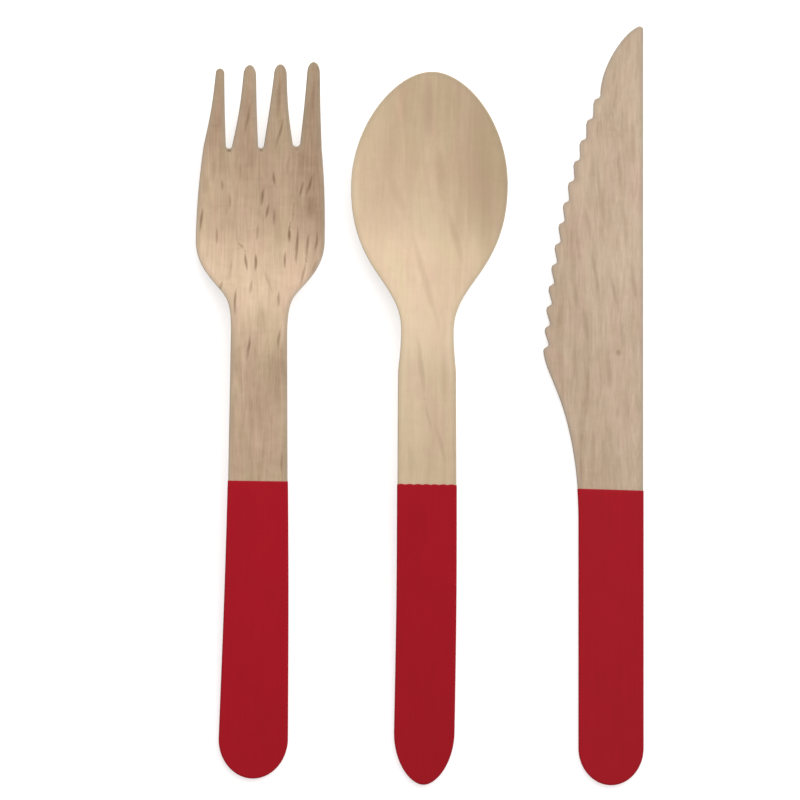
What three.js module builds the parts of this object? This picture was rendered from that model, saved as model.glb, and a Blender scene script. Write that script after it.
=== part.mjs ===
// Wooden cutlery set: a fork, a spoon and a knife side by side, each with its handle dipped in red paint.
// Millimetres, +Z up. The utensils point along +Y and lie on the plane Z = 0.
// Each utensil is one blank of birch veneer, die-cut to its outline and pressed to its shape.
import * as THREE from "three";
import { mergeVertices } from "three/addons/utils/BufferGeometryUtils.js";

// Veneer and paint
const woodThickness = 1.6;
const edgeRadius = 0.3;
const paintThickness = 0.1;

// Layout, from butt centre to butt centre, how far each utensil is turned clockwise, and how far the
// middle of a handle strays sideways
const forkToSpoon = 37.0;
const spoonToKnife = 41.0;
const forkFurtherUp = 1.45;
const spoonFurtherUp = 0.1;
const forkTurn = 0.84;
const spoonTurn = 0.73;
const handleSway = 0.33;

// Fork, as runs along it from the butt, one after another, and half widths across it
const forkGripHalf = 7.45;
const forkEndLength = 8.6;
const forkPaintedLength = 64.7;
const forkPaintHalf = 6.45;
const forkBareRun = 32.3;
const forkNeckHalf = 6.1;
const forkNeckRun = 9.5;
const forkShoulderHalf = 8.9;
const forkShoulderRun = 10.5;
const forkPalmHalf = 14;
const forkPalmRun = 20;
const forkCombHalf = 12.85;
const forkNeckLift = 6.9;
const forkTipLift = 5.6;
const palmDepth = 1.47;
const forkCombSway = 0.22;

// Tines from left to right: where the middle of each tip lies across the fork, and its reach past the comb
const firstTipX = -9.2;
const secondTipX = -2.75;
const thirdTipX = 3.9;
const fourthTipX = 11.1;
const firstTipReach = 17.1;
const secondTipReach = 17.95;
const thirdTipReach = 18.2;
const fourthTipReach = 18.75;
const tineTipHalf = 1.4;
const tineTipRound = 2.4;
const slimTineTipHalf = 0.95;
const slimTineTipRound = 1.1;

// How far the middle of a tine's side lies inside a straight line from its root to its tip
const deepTineWaist = 0.3;
const slightTineWaist = 0.08;

// Slots between the tines, from left to right
const firstSlotX = -7.1;
const secondSlotX = -0.15;
const thirdSlotX = 7.55;
const firstSlotReach = -0.15;
const secondSlotReach = 0.05;
const thirdSlotReach = 0.5;
const firstSlotRadius = 0.7;
const secondSlotRadius = 0.65;
const thirdSlotRadius = 0.85;

// Spoon
const spoonGripHalf = 6.5;
const spoonEndLength = 11.5;
const spoonPaintedLength = 65.3;
const spoonPaintHalf = 6.4;
const spoonBareRun = 23.7;
const spoonHandleTopHalf = 6.3;
const spoonTaperRun = 9.5;
const spoonNeckHalf = 5.7;
const spoonNeckRun = 12.4;
const spoonShoulderHalf = 11;
const spoonShoulderRun = 19.1;
const bowlHalf = 17;
const bowlTipRun = 24.9;
const spoonNeckLift = 7;
const bowlTipLift = 5;
const bowlDepth = 4.97;

// Knife
const knifeLength = 165;
const knifeHandleHalf = 7;
const knifeEndLength = 8;
const knifeStraightLength = 57;
const knifePaintRun = 7.2;
const knifePaintHalf = 7.25;
const heelRiseRun = 19.6;
const heelRiseHalf = 11.1;
const heelRun = 10.6;
const heelHalf = 14.75;
const bellyFullness = 1.1;
const tipRun = 16.3;
const firstToothHalf = 3.75;
const toothCount = 13;
const heelToothDepth = 1.1;
const tipToothDepth = 0.93;
const toothSlant = 0.74;
const toothBlunt = 0.1;
const tipFromSpine = 0.8;
const tipCornerHeight = 0.7;

// How finely curves are stepped
const edgeSteps = 2;
const curveSteps = 6;
const curvePitch = 3;
const straightPitch = 10;
const tineColumns = 2;
const spoonColumns = 8;
const knifeColumns = 4;
const mergeDistance = 1e-4;

const forkWood = new THREE.MeshStandardMaterial({ color: "#bfa58a", roughness: 0.75, metalness: 0 });
const spoonWood = new THREE.MeshStandardMaterial({ color: "#d3ba9c", roughness: 0.75, metalness: 0 });
const knifeWood = new THREE.MeshStandardMaterial({ color: "#c4af95", roughness: 0.75, metalness: 0 });
const redPaint = new THREE.MeshStandardMaterial({ color: "#a11c27", roughness: 0.5, metalness: 0 });

// A smooth line through stations given as [distance along, value]
function lineThrough(stations) {
  const along = stations.map((station) => station[0]);
  const values = stations.map((station) => station[1]);
  const curve = new THREE.CubicInterpolant(along, values, 1);
  return (y) => curve.evaluate(y)[0];
}

// Adds the side's curves between knots. A knot has the half width, the distance along, how fast the side
// widens there, and which share of the run before and after it the curve holds that direction.
function addKnots(path, knots) {
  for (let i = 1; i < knots.length; i++) {
    const [from, to] = [knots[i - 1], knots[i]];
    const held = from.after * (to.at - from.at);
    const led = to.before * (to.at - from.at);
    path.bezierCurveTo(
      from.half + from.widens * held,
      from.at + held,
      to.half - to.widens * led,
      to.at - led,
      to.half,
      to.at,
    );
  }
}

// Starts a side at the butt with a rounded end. Blunt is how far the end runs straight across, and held
// is how far it runs straight along the side, both as shares of the end's size.
function startSide({ half, length, blunt, held }) {
  const path = new THREE.Path();
  path.moveTo(0, 0);
  path.bezierCurveTo(half * blunt, 0, half, length * (1 - held), half, length);
  return path;
}

const roundEnd = { blunt: 0.55, held: 0.55 };

// The side's points: straight stretches in long steps, and curves in short ones
function pointsAlong(path) {
  const points = path.curves.flatMap((curve) => {
    const length = curve.getLength();
    const steps = curve.isLineCurve
      ? Math.ceil(length / straightPitch)
      : Math.max(curveSteps, Math.round(length / curvePitch));
    return curve.getPoints(steps).slice(1);
  });
  return [path.curves[0].getPoint(0), ...points];
}

// An edge with the direction into the wood at each point. Turn is -1 on the left edge and 1 on the right.
function edgeOf(points, turn, firstInward, lastInward) {
  const edge = points.map((point, i) => {
    const before = points[Math.max(i - 1, 0)];
    const after = points[Math.min(i + 1, points.length - 1)];
    const way = after.clone().sub(before).normalize();
    return { point, inward: new THREE.Vector2(-turn * way.y, turn * way.x) };
  });
  if (firstInward) edge[0].inward = firstInward;
  if (lastInward) edge[edge.length - 1].inward = lastInward;
  return edge;
}

const towardsTip = new THREE.Vector2(0, 1);
const towardsButt = new THREE.Vector2(0, -1);

function inset({ point, inward }, distance) {
  return point.clone().addScaledVector(inward, distance);
}

// Stations pair the two edges and hold the points across the flat of the face between them
function stationsBetween(left, right, shares) {
  return left.map((leftEdge, i) => {
    const rightEdge = right[i];
    const from = inset(leftEdge, edgeRadius);
    const to = inset(rightEdge, edgeRadius);
    return { left: leftEdge, right: rightEdge, across: shares.map((share) => from.clone().lerp(to, share)) };
  });
}

function evenShares(columns) {
  return Array.from({ length: columns + 1 }, (_, i) => i / columns);
}

// The rounding of an edge from the top face to the underside, grown outwards by a skin's thickness
function edgeRounding(skin) {
  const radius = edgeRadius + skin;
  const upper = Array.from({ length: edgeSteps + 1 }, (_, i) => {
    const angle = (Math.PI / 2) * (i / edgeSteps);
    return {
      distance: edgeRadius - radius * Math.sin(angle),
      height: woodThickness / 2 + skin - radius * (1 - Math.cos(angle)),
    };
  });
  const lower = upper.map(({ distance, height }) => ({ distance, height: -height })).reverse();
  return [...upper, ...lower];
}

// The closed loop round a utensil at one station: over the top, round the right edge, back and up again
function loopAt({ left, right, across }, press, skin) {
  const rounding = edgeRounding(skin);
  const faceHeight = rounding[0].height;
  const side = rounding.slice(1, -1);
  const raised = (flat, height) => new THREE.Vector3(flat.x, flat.y, press(flat.x, flat.y) + height);
  const top = across.map((flat) => raised(flat, faceHeight));
  const under = across.map((flat) => raised(flat, -faceHeight)).reverse();
  const rightSide = side.map((step) => raised(inset(right, step.distance), step.height));
  const leftSide = side.map((step) => raised(inset(left, step.distance), step.height)).reverse();
  return [...top, ...rightSide, ...under, ...leftSide];
}

// Faces between neighbouring loops. A reversed wall faces into the loops.
function wallBetween(loops, reversed = false) {
  const triangles = [];
  for (let i = 1; i < loops.length; i++) {
    const [near, far] = [loops[i - 1], loops[i]];
    near.forEach((point, k) => {
      const next = (k + 1) % near.length;
      triangles.push([point, near[next], far[next]], [point, far[next], far[k]]);
    });
  }
  return reversed ? triangles.map(([a, b, c]) => [a, c, b]) : triangles;
}

function solidFrom(triangles) {
  const sharp = triangles.filter(
    ([a, b, c]) =>
      a.distanceTo(b) > mergeDistance && b.distanceTo(c) > mergeDistance && c.distanceTo(a) > mergeDistance,
  );
  const geometry = new THREE.BufferGeometry().setFromPoints(sharp.flat());
  const merged = mergeVertices(geometry, mergeDistance);
  merged.computeVertexNormals();
  return merged;
}

function named(name, geometry, material) {
  const mesh = new THREE.Mesh(geometry, material);
  mesh.name = name;
  return mesh;
}

// A pressed blank from its strips of stations
function blankFrom(strips, press) {
  return solidFrom(strips.flatMap((stations) => wallBetween(stations.map((at) => loopAt(at, press, 0)))));
}

// The dip coat: a skin round the handle from the butt to where the paint stops
function coatFrom(stations, press, paintTo) {
  const dipped = stations.filter(({ left }) => left.point.y <= paintTo + mergeDistance);
  const inner = dipped.map((at) => loopAt(at, press, 0));
  const outer = dipped.map((at) => loopAt(at, press, paintThickness));
  const rim = wallBetween([outer[outer.length - 1], inner[inner.length - 1]]);
  return solidFrom([...wallBetween(outer), ...wallBetween(inner, true), ...rim]);
}

// Both edges from one side's half widths, set about a middle line that sways a little
function swayedEdges(side, sway) {
  const left = side.map(({ x, y }) => new THREE.Vector2(sway(y) - x, y));
  const right = side.map(({ x, y }) => new THREE.Vector2(sway(y) + x, y));
  return { left, right };
}

const slimTip = { half: slimTineTipHalf, round: slimTineTipRound };
const fullTip = { half: tineTipHalf, round: tineTipRound };
const tineTips = [
  { x: firstTipX, reach: firstTipReach, ...slimTip, waists: [deepTineWaist, slightTineWaist] },
  { x: secondTipX, reach: secondTipReach, ...fullTip, waists: [deepTineWaist, slightTineWaist] },
  { x: thirdTipX, reach: thirdTipReach, ...fullTip, waists: [slightTineWaist, deepTineWaist] },
  { x: fourthTipX, reach: fourthTipReach, ...fullTip, waists: [slightTineWaist, slightTineWaist] },
];
const slots = [
  { x: firstSlotX, reach: firstSlotReach, radius: firstSlotRadius },
  { x: secondSlotX, reach: secondSlotReach, radius: secondSlotRadius },
  { x: thirdSlotX, reach: thirdSlotReach, radius: thirdSlotRadius },
];

function makeFork() {
  const neckAt = forkPaintedLength + forkBareRun;
  const shoulderAt = neckAt + forkNeckRun;
  const palmAt = shoulderAt + forkShoulderRun;
  const combAt = palmAt + forkPalmRun;
  const tipAt = combAt + Math.max(...tineTips.map((tip) => tip.reach));
  const path = startSide({ half: forkGripHalf, length: forkEndLength, ...roundEnd });
  path.lineTo(forkPaintHalf, forkPaintedLength);
  path.lineTo(forkNeckHalf, neckAt);
  addKnots(path, [
    { half: forkNeckHalf, at: neckAt, widens: 0, after: 0.65 },
    { half: forkShoulderHalf, at: shoulderAt, widens: 0.9, before: 0.22, after: 0.27 },
    { half: forkPalmHalf, at: palmAt, widens: 0, before: 0.46, after: 0.35 },
    { half: forkCombHalf, at: combAt, widens: -0.12, before: 0.3 },
  ]);
  const sway = lineThrough([
    [0, 0],
    [forkPaintedLength * 0.7, handleSway],
    [neckAt, handleSway / 3],
    [palmAt, 0],
    [combAt, forkCombSway],
  ]);
  const along = THREE.MathUtils.lerp;
  const lift = lineThrough([
    [0, paintThickness],
    [neckAt * 0.46, forkNeckLift * 0.52],
    [neckAt * 0.89, forkNeckLift * 0.96],
    [neckAt * 0.98, forkNeckLift],
    [along(neckAt, shoulderAt, 0.7), forkNeckLift * 0.76],
    [along(shoulderAt, palmAt, 0.5), forkNeckLift * 0.26],
    [palmAt, forkNeckLift * 0.03],
    [along(palmAt, combAt, 0.25), 0],
    [along(palmAt, combAt, 0.8), forkTipLift * 0.12],
    [along(combAt, tipAt, 0.43), forkTipLift * 0.54],
    [tipAt, forkTipLift],
  ]);
  const dish = lineThrough([
    [neckAt, 0],
    [shoulderAt, palmDepth * 0.35],
    [palmAt, palmDepth],
    [combAt, palmDepth],
  ]);
  const press = (x, y) => woodThickness / 2 + lift(y) + dish(y) * (x / forkPalmHalf) ** 2;

  const palm = swayedEdges(pointsAlong(path), sway);
  const tines = tineTips.map((tip, i) => tineEdges(tip, slots[i - 1], slots[i], palm, combAt));
  const last = tines.length - 1;
  // The outer edges run on from the palm into the outer tines
  const leftEdge = edgeOf([...palm.left, ...tines[0].left.slice(1)], -1, towardsTip, towardsButt);
  const rightEdge = edgeOf([...palm.right, ...tines[last].right.slice(1)], 1, towardsTip, towardsButt);
  const palmCount = palm.left.length;
  const strips = tines.map(({ left, right }, i) =>
    stationsBetween(
      i === 0 ? leftEdge.slice(palmCount - 1) : edgeOf(left, -1, towardsButt, towardsButt),
      i === last ? rightEdge.slice(palmCount - 1) : edgeOf(right, 1, towardsButt, towardsButt),
      evenShares(tineColumns),
    ),
  );
  // The palm's face meets the tines' faces along the comb, so its columns line up with theirs
  const comb = strips.flatMap(([root], i) => (i === 0 ? root.across : root.across.slice(1)));
  const combWidth = comb[comb.length - 1].x - comb[0].x;
  const combShares = comb.map((point) => (point.x - comb[0].x) / combWidth);
  const palmStations = stationsBetween(
    leftEdge.slice(0, palmCount),
    rightEdge.slice(0, palmCount),
    combShares,
  );
  palmStations[palmCount - 1].across = comb;

  const fork = new THREE.Group();
  fork.add(named("fork_blank", blankFrom([palmStations, ...strips], press), forkWood));
  fork.add(named("fork_coat", coatFrom(palmStations, press, forkPaintedLength), redPaint));
  return fork;
}

// The edges of one tine from the comb to its tip. An edge starts round the bottom of the slot beside it,
// or on the palm's outer edge where there is no slot.
function tineEdges(tip, leftSlot, rightSlot, palm, combAt) {
  const tipY = combAt + tip.reach;
  const quarter = evenShares(curveSteps / 2).map((share) => (share * Math.PI) / 2);
  const shaftShares = evenShares(curveSteps / 2 + 1).slice(1, -1);
  const edge = (outward, slot, otherSlot, palmEdge, waist) => {
    const shoulder = new THREE.Vector2(tip.x + outward * tip.half, tipY - tip.round);
    const comb = palmEdge[palmEdge.length - 1];
    const root = quarter.map((angle) => {
      const rise = (slot ?? otherSlot).radius * (1 - Math.cos(angle));
      if (!slot) return comb.clone().lerp(shoulder, rise / (shoulder.y - comb.y));
      const x = slot.x - outward * slot.radius * Math.sin(angle);
      return new THREE.Vector2(x, combAt + slot.reach + rise);
    });
    const shaft = shaftShares.map((share) => {
      const point = root[root.length - 1].clone().lerp(shoulder, share);
      point.x -= outward * waist * Math.sin(share * Math.PI);
      return point;
    });
    const end = quarter.map(
      (angle) =>
        new THREE.Vector2(
          tip.x + outward * tip.half * Math.cos(angle),
          tipY - tip.round * (1 - Math.sin(angle)),
        ),
    );
    return [...root, ...shaft, ...end];
  };
  return {
    left: edge(-1, leftSlot, rightSlot, palm.left, tip.waists[0]),
    right: edge(1, rightSlot, leftSlot, palm.right, tip.waists[1]),
  };
}

function makeSpoon() {
  const handleTopAt = spoonPaintedLength + spoonBareRun;
  const neckAt = handleTopAt + spoonTaperRun;
  const shoulderAt = neckAt + spoonNeckRun;
  const widestAt = shoulderAt + spoonShoulderRun;
  const tipAt = widestAt + bowlTipRun;
  const path = startSide({ half: spoonGripHalf, length: spoonEndLength, blunt: 0.44, held: 0.58 });
  path.lineTo(spoonPaintHalf, spoonPaintedLength);
  path.lineTo(spoonHandleTopHalf, handleTopAt);
  addKnots(path, [
    { half: spoonHandleTopHalf, at: handleTopAt, widens: 0, after: 0.2 },
    { half: spoonNeckHalf, at: neckAt, widens: 0, before: 0.47, after: 0.41 },
    { half: spoonShoulderHalf, at: shoulderAt, widens: 0.7, before: 0.35, after: 0.29 },
    { half: bowlHalf, at: widestAt, widens: 0, before: 0.42 },
  ]);
  path.bezierCurveTo(bowlHalf, widestAt + bowlTipRun * 0.55, bowlHalf * 0.45, tipAt, 0, tipAt);
  const sway = lineThrough([
    [0, handleSway / 2],
    [spoonPaintedLength * 0.6, handleSway],
    [spoonPaintedLength, handleSway / 3],
    [handleTopAt, -handleSway / 2],
    [widestAt, -handleSway / 2],
    [tipAt, handleSway / 2],
  ]);
  const bottomAt = THREE.MathUtils.lerp(shoulderAt, widestAt, 0.63);
  const lift = lineThrough([
    [0, paintThickness],
    [neckAt * 0.46, spoonNeckLift * 0.52],
    [neckAt * 0.88, spoonNeckLift * 0.96],
    [neckAt * 0.97, spoonNeckLift],
    [neckAt + spoonNeckRun * 0.4, spoonNeckLift * 0.76],
    [shoulderAt, spoonNeckLift * 0.36],
    [THREE.MathUtils.lerp(shoulderAt, bottomAt, 0.6), spoonNeckLift * 0.035],
    [bottomAt, 0],
    [(bottomAt + tipAt) / 2, bowlTipLift * 0.25],
    [tipAt, bowlTipLift],
  ]);
  const dish = lineThrough([
    [handleTopAt, 0],
    [neckAt, bowlDepth * 0.25],
    [shoulderAt, bowlDepth],
    [tipAt, bowlDepth],
  ]);
  const press = (x, y) => woodThickness / 2 + lift(y) + dish(y) * (x / bowlHalf) ** 2;

  const { left, right } = swayedEdges(pointsAlong(path), sway);
  const stations = stationsBetween(
    edgeOf(left, -1, towardsTip, towardsButt),
    edgeOf(right, 1, towardsTip, towardsButt),
    evenShares(spoonColumns),
  );
  const spoon = new THREE.Group();
  spoon.add(named("spoon_blank", blankFrom([stations], press), spoonWood));
  spoon.add(named("spoon_coat", coatFrom(stations, press, spoonPaintedLength), redPaint));
  return spoon;
}

// The cutting edge from the heel to the last notch: the teeth's points lie on the belly's curve, and each
// notch lies inside it
function cuttingEdge(heelAt) {
  const firstToothAt = knifeLength - tipRun;
  const belly = new THREE.QuadraticBezierCurve(
    new THREE.Vector2(heelHalf, heelAt),
    new THREE.Vector2(heelHalf - bellyFullness, (heelAt + firstToothAt) / 2),
    new THREE.Vector2(firstToothHalf, firstToothAt),
  );
  const pitch = 1 / (toothCount - 1);
  const blunted = toothBlunt * pitch;
  const onBelly = (share, depth) => {
    const way = belly.getTangent(Math.min(share, 1));
    const past = Math.max(share - 1, 0) * (firstToothAt - heelAt);
    const point = belly.getPoint(Math.min(share, 1)).addScaledVector(way, past);
    return point.addScaledVector(new THREE.Vector2(-way.y, way.x), depth);
  };
  const points = [];
  for (let tooth = 0; tooth < toothCount; tooth++) {
    const share = tooth * pitch;
    const notch = share + (1 - toothSlant) * pitch;
    const depth = THREE.MathUtils.lerp(heelToothDepth, tipToothDepth, Math.min(notch * notch, 1));
    if (tooth > 0) points.push(onBelly(share - blunted, depth * toothBlunt));
    points.push(onBelly(share + blunted, depth * toothBlunt));
    points.push(onBelly(notch, depth));
    points.push(onBelly(notch + blunted, depth));
  }
  return points;
}

function makeKnife() {
  const paintAt = knifeStraightLength + knifePaintRun;
  const riseAt = paintAt + heelRiseRun;
  const heelAt = riseAt + heelRun;
  const path = startSide({ half: knifeHandleHalf, length: knifeEndLength, ...roundEnd });
  path.lineTo(knifeHandleHalf, knifeStraightLength);
  addKnots(path, [
    { half: knifeHandleHalf, at: knifeStraightLength, widens: 0, after: 0.35 },
    { half: knifePaintHalf, at: paintAt, widens: 0.07, before: 0.35, after: 0.26 },
    { half: heelRiseHalf, at: riseAt, widens: 0.36, before: 0.36, after: 0.43 },
    { half: heelHalf, at: heelAt, widens: 0.1, before: 0.29 },
  ]);
  const teeth = cuttingEdge(heelAt);
  teeth.forEach((point) => path.lineTo(point.x, point.y));
  const lastNotch = teeth[teeth.length - 1];
  const tipX = tipFromSpine - knifeHandleHalf;
  path.bezierCurveTo(
    lastNotch.x,
    THREE.MathUtils.lerp(lastNotch.y, knifeLength, 0.45),
    THREE.MathUtils.lerp(tipX, lastNotch.x, 0.34),
    THREE.MathUtils.lerp(knifeLength, lastNotch.y, 0.05),
    tipX,
    knifeLength,
  );
  const drawn = pointsAlong(path);

  // The spine mirrors the rounded end, runs straight, and rounds over into the tip
  const spineAt = (point) => {
    if (point.y < knifeEndLength) return point.x;
    const intoCorner = Math.max(point.y - (knifeLength - tipCornerHeight), 0) / tipCornerHeight;
    return knifeHandleHalf - tipFromSpine * (1 - Math.sqrt(Math.max(1 - intoCorner * intoCorner, 0)));
  };
  const left = drawn.map((point) => new THREE.Vector2(-point.x, point.y));
  const right = drawn.map((point) => new THREE.Vector2(spineAt(point), point.y));
  const stations = stationsBetween(
    edgeOf(left, -1, towardsTip, towardsButt),
    edgeOf(right, 1, towardsTip, towardsButt),
    evenShares(knifeColumns),
  );
  const press = () => woodThickness / 2 + paintThickness;
  const knife = new THREE.Group();
  knife.add(named("knife_blank", blankFrom([stations], press), knifeWood));
  knife.add(named("knife_coat", coatFrom(stations, press, paintAt), redPaint));
  return knife;
}

const fork = makeFork();
const spoon = makeSpoon();
const knife = makeKnife();
fork.position.set(-forkToSpoon, forkFurtherUp, 0);
fork.rotation.z = -THREE.MathUtils.degToRad(forkTurn);
spoon.position.set(0, spoonFurtherUp, 0);
spoon.rotation.z = -THREE.MathUtils.degToRad(spoonTurn);
knife.position.set(spoonToKnife, 0, 0);

const set = new THREE.Group();
set.add(fork, spoon, knife);

// Each utensil is let down onto the table, and the set is centred over the origin
for (const utensil of set.children) utensil.position.z -= new THREE.Box3().setFromObject(utensil, true).min.z;
const box = new THREE.Box3().setFromObject(set, true);
const centre = box.getCenter(new THREE.Vector3());
set.position.set(-centre.x, -centre.y, 0);

export default set;
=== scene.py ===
# Wooden cutlery set: a fork, a spoon and a knife of pressed birch veneer with red dipped handles.
import math
import bpy
import numpy as np
from mathutils import Matrix, Vector


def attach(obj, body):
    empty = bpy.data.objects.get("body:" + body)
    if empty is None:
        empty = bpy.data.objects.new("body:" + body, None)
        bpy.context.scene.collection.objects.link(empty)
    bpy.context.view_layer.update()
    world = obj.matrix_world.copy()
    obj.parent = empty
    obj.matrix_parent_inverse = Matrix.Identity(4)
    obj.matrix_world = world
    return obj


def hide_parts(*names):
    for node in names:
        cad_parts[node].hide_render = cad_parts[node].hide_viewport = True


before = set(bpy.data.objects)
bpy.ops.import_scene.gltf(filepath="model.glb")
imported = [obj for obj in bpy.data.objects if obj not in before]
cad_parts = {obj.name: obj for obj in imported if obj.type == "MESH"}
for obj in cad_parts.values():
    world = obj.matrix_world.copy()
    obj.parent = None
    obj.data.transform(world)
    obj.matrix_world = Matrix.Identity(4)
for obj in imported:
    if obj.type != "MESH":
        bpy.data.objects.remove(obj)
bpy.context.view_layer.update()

mm = 0.001  # the utensils are drawn in millimetres, each in its own frame with its butt at the origin

veneer = {
    "thickness": 1.6,
    "edgeRadius": 0.3,
    "edgeSteps": 5,
    "curvePitch": 0.5,
    "curveSteps": 12,  # the fewest steps along one curve
    "straightPitch": 0.8,
    "mergeDistance": 1e-4,
    "relief": 0.02,  # how deep the early wood lies below the faces
    "reliefAcross": 0.7,  # how many furrows to a millimetre
    "reliefAlong": 0.03,
    "reliefDetail": 2.0,
    "fleckDepth": 0.008,
    "fleckWander": 0.8,  # how far a fleck strays from a straight line
    "fleckWaves": 0.25,  # how many bends to a millimetre
    "fleckHeld": 0.95,  # a fleck's strength holds up to here and ends at fleckGone, in half sizes
    "fleckGone": 1.25,
    "wallLimit": 0.6,  # a point with less than this of a face counts as one of the cut edge
}

dip = {
    "thickness": 0.1,
    "rimRun": 0.3,  # the paint thins to nothing over this length
    "rimSteps": 5,
    "rimFollows": 3,  # how far below the rim the skin still follows its waves
    "columns": 48,
}

layout = {
    "forkButt": (-36.408, -81.0),
    "spoonButt": (0.592, -82.35),
    "knifeButt": (41.592, -82.45),
    "forkTurn": 0.84,  # degrees clockwise
    "spoonTurn": 0.73,
    "handleSway": 0.33,  # how far a handle's middle strays from straight
}


# Lines and outlines

# A curve through (distance, value) stations that leaves each at the mean of the slopes beside it
def smoothLine(stations):
    at, value = np.array(stations, dtype=float).T
    secant = np.diff(value) / np.diff(at)
    slope = np.concatenate([secant[:1], (secant[1:] + secant[:-1]) / 2, secant[-1:]])

    def line(y):
        y = np.clip(np.asarray(y, dtype=float), at[0], at[-1])
        i = np.clip(np.searchsorted(at, y, side="right") - 1, 0, len(at) - 2)
        run = at[i + 1] - at[i]
        p = (y - at[i]) / run
        start = value[i] * (1 + 2 * p) * (1 - p) ** 2 + slope[i] * run * p * (1 - p) ** 2
        end = value[i + 1] * p * p * (3 - 2 * p) - slope[i + 1] * run * p * p * (1 - p)
        return start + end

    return line


def lerp(a, b, share):
    return a + (b - a) * share


def straight(start, end):
    steps = max(1, math.ceil(math.dist(start, end) / veneer["straightPitch"]))
    shares = np.linspace(0, 1, steps + 1)[1:, None]
    return lerp(np.array(start, dtype=float), np.array(end, dtype=float), shares)


def bezier(a, b, c, d):
    a, b, c, d = (np.array(point, dtype=float) for point in (a, b, c, d))
    rough = math.dist(a, b) + math.dist(b, c) + math.dist(c, d)
    steps = max(veneer["curveSteps"], round(rough / veneer["curvePitch"]))
    t = np.linspace(0, 1, steps + 1)[1:, None]
    return a * (1 - t) ** 3 + 3 * b * t * (1 - t) ** 2 + 3 * c * t * t * (1 - t) + d * t ** 3


# One side of the butt, from the middle of its end out to the full half width
def roundedEnd(half, length, blunt=0.55, held=0.55):
    curve = bezier((0, 0), (half * blunt, 0), (half, length * (1 - held)), (half, length))
    return np.vstack([[[0, 0]], curve])


# A side's curves between knots of half width, distance along, widening and held shares
def throughKnots(knots):
    runs = []
    for before, after in zip(knots, knots[1:]):
        run = after["at"] - before["at"]
        held, led = before["after"] * run, after["before"] * run
        runs.append(bezier(
            (before["half"], before["at"]),
            (before["half"] + before["widens"] * held, before["at"] + held),
            (after["half"] - after["widens"] * led, after["at"] - led),
            (after["half"], after["at"]),
        ))
    return np.vstack(runs)


# The direction into the wood at each point of an edge, with turn -1 on the left and 1 on the right
def inwardOf(points, turn, first=None, last=None):
    shortest = 1e-9  # keeps the division away from zero
    way = np.empty_like(points)
    way[1:-1] = points[2:] - points[:-2]
    way[0] = points[1] - points[0]
    way[-1] = points[-1] - points[-2]
    way /= np.maximum(np.linalg.norm(way, axis=1, keepdims=True), shortest)
    inward = np.column_stack([-turn * way[:, 1], turn * way[:, 0]])
    if first is not None:
        inward[0] = first
    if last is not None:
        inward[-1] = last
    return inward


def swayed(side, sway):
    middle = sway(side[:, 1])
    left = np.column_stack([middle - side[:, 0], side[:, 1]])
    right = np.column_stack([middle + side[:, 0], side[:, 1]])
    return left, right


# Blanks: loops round the veneer at each station, joined into walls

# Distances into the wood and heights of an edge's rounding, from the top face to the underside
def edgeRounding(skin):
    angle = np.linspace(0, math.pi / 2, veneer["edgeSteps"] + 1)
    radius = veneer["edgeRadius"] + skin
    distance = veneer["edgeRadius"] - radius * np.sin(angle)
    height = veneer["thickness"] / 2 + skin - radius * (1 - np.cos(angle))
    return np.concatenate([distance, distance[::-1]]), np.concatenate([height, -height[::-1]])


# Closed loops round a flat blank: over the top, round the right edge, back below and up the left edge,
# with the face that each point belongs to, 1 on top, -1 below and 0 on an edge
def loopsRound(left, leftInward, right, rightInward, shares, skin=0.0, comb=None):
    loops, faces = [], []
    radius = veneer["edgeRadius"]
    skins = np.broadcast_to(skin, len(left))
    for i in range(len(left)):
        distance, height = edgeRounding(skins[i])
        start, end = left[i] + leftInward[i] * radius, right[i] + rightInward[i] * radius
        across = lerp(start, end, shares[:, None])
        if comb is not None and i == len(left) - 1:
            across = comb
        side = distance[1:-1, None]
        rightSide = right[i] + rightInward[i] * side
        leftSide = left[i] + leftInward[i] * side
        flat = np.vstack([across, rightSide, across[::-1], leftSide[::-1]])
        count = len(across)
        level = np.concatenate([
            np.full(count, height[0]), height[1:-1], np.full(count, height[-1]), height[1:-1][::-1],
        ])
        loops.append(np.column_stack([flat, level]))
        ones, none = np.ones(count), np.zeros(len(side))
        faces.append(np.concatenate([ones, none, -ones, none]))
    return np.array(loops), np.array(faces)


# Quads between neighbouring loops, whose points are numbered from start
def wallsOf(loops, start=0, reverse=False):
    rows, columns = loops.shape[:2]
    i, k = np.meshgrid(np.arange(rows - 1), np.arange(columns), indexing="ij")
    following = (k + 1) % columns
    quads = np.stack([
        i * columns + k, i * columns + following, (i + 1) * columns + following, (i + 1) * columns + k,
    ], axis=-1).reshape(-1, 4) + start
    return quads[:, ::-1] if reverse else quads


def storeOn(mesh, domain, stored):
    for key, values in stored.items():
        layer = mesh.attributes.new(key, "FLOAT", domain)
        layer.data.foreach_set("value", np.asarray(values, dtype=np.float32))


def newObject(name, data):
    made = bpy.data.objects.new(name, data)
    bpy.context.scene.collection.objects.link(made)
    return made


# The flat blank as a mesh, with what the press and the finish read stored on its points
def flatMesh(name, strips, lift, dish, toneAndPaintedLight):
    points, faces, quads, start = [], [], [], 0
    for loops, face, reverse in strips:
        points.append(loops.reshape(-1, 3))
        faces.append(face.reshape(-1))
        quads.append(wallsOf(loops, start, reverse))
        start += loops.shape[0] * loops.shape[1]
    points, faces, quads = np.vstack(points), np.concatenate(faces), np.vstack(quads)
    mesh = bpy.data.meshes.new(name)
    mesh.from_pydata(points.tolist(), [], quads.tolist())
    x, y = points[:, 0], points[:, 1]
    # The stored tone carries painted light and shade as well as the surface's own tone
    storeOn(mesh, "POINT", {"face": faces, "lift": lift(y), "dish": dish(y), "toneAndPaintedLight": toneAndPaintedLight(x, y)})
    return mesh


# Geometry Nodes: the press, which also opens the grain and the flecks

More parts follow.
